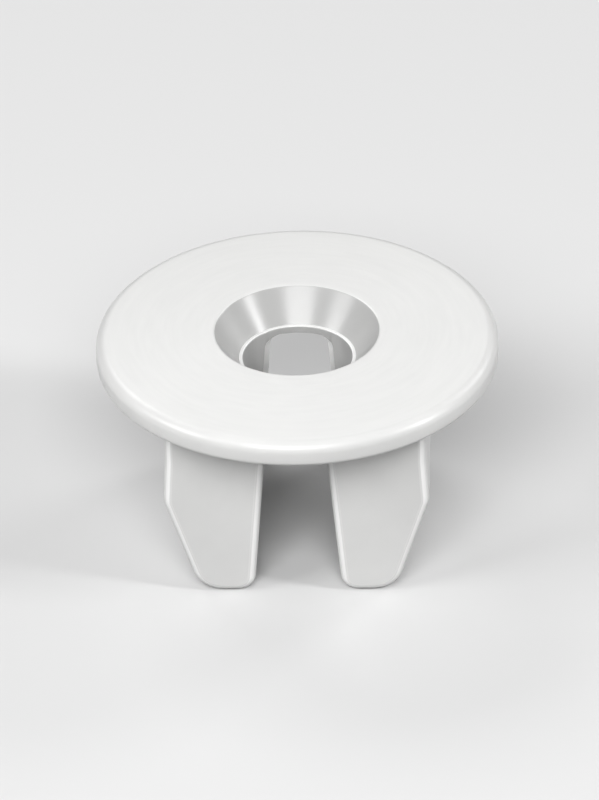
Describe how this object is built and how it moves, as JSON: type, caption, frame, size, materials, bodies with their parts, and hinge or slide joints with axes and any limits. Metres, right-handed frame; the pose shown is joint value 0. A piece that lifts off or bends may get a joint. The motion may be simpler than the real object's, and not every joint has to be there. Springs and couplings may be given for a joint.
{
  "type": "screw grommet",
  "caption": "Push-in screw grommet: a round countersunk flange on a split square shank, whose tapered legs a tapping screw spreads to grip a thin panel.",
  "frame": {"origin": "on the screw hole's axis, in the plane of the seat under the flange", "axes": "+Z out of the head along the screw hole, X across the slot from leg to leg, Y along the slot"},
  "size_m": [0.0195, 0.0194, 0.011],
  "materials": {
    "nylon": "satin natural white moulded nylon"
  },
  "bodies": {
    "root": {"screw_grommet": "nylon"}
  },
  "joints": []
}
